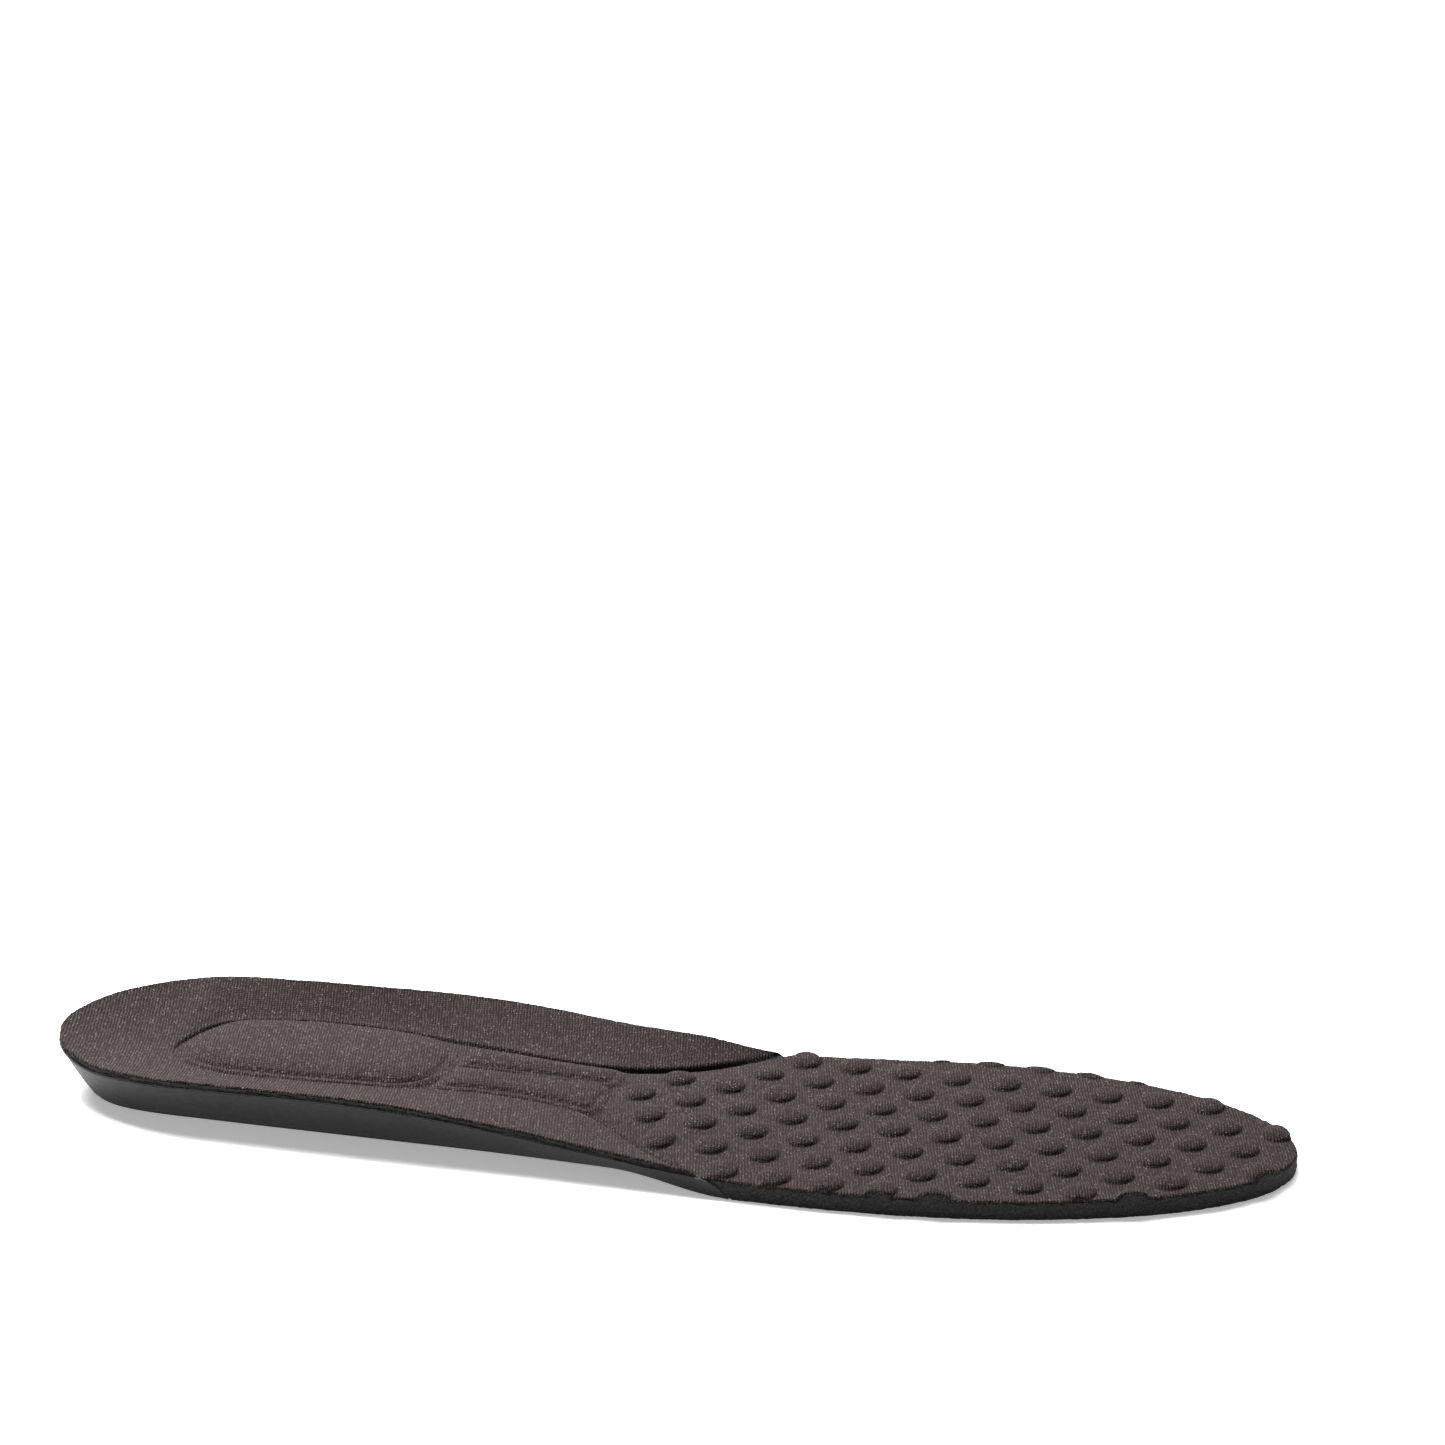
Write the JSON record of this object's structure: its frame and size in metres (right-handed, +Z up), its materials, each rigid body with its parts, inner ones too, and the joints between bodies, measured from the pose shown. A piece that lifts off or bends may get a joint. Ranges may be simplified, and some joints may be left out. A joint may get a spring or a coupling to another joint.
{
  "type": "cushioned insole",
  "caption": "Full-length cushioned shoe insole with a cupped heel, raised heel pad, arch bars and a domed massage forefoot under a knit cover.",
  "frame": {"origin": "middle of the insole's box on the floor it stands on", "axes": "+X towards the toe, +Y towards the arch side of a right foot, +Z up"},
  "size_m": [0.27, 0.0863, 0.0131],
  "materials": {
    "knit_cloth": "fine matte weft knit with a slight sparkle",
    "cut_foam": "matte, open cells on cut edges",
    "moulded_foam": "smooth moulded skin, matte",
    "pad_foam": "matte soft foam"
  },
  "bodies": {
    "root": {"top_cover": "knit_cloth", "comfort_foam": "cut_foam", "heel_base": "moulded_foam", "heel_collar": "cut_foam", "heel_pad": "pad_foam", "arch_bar_medial": "pad_foam", "arch_bar_lateral": "pad_foam", "dome_row_1": "pad_foam", "dome_row_2": "pad_foam", "dome_row_3": "pad_foam", "dome_row_4": "pad_foam", "dome_row_5": "pad_foam", "dome_row_6": "pad_foam", "dome_row_7": "pad_foam", "dome_row_8": "pad_foam"}
  },
  "joints": []
}
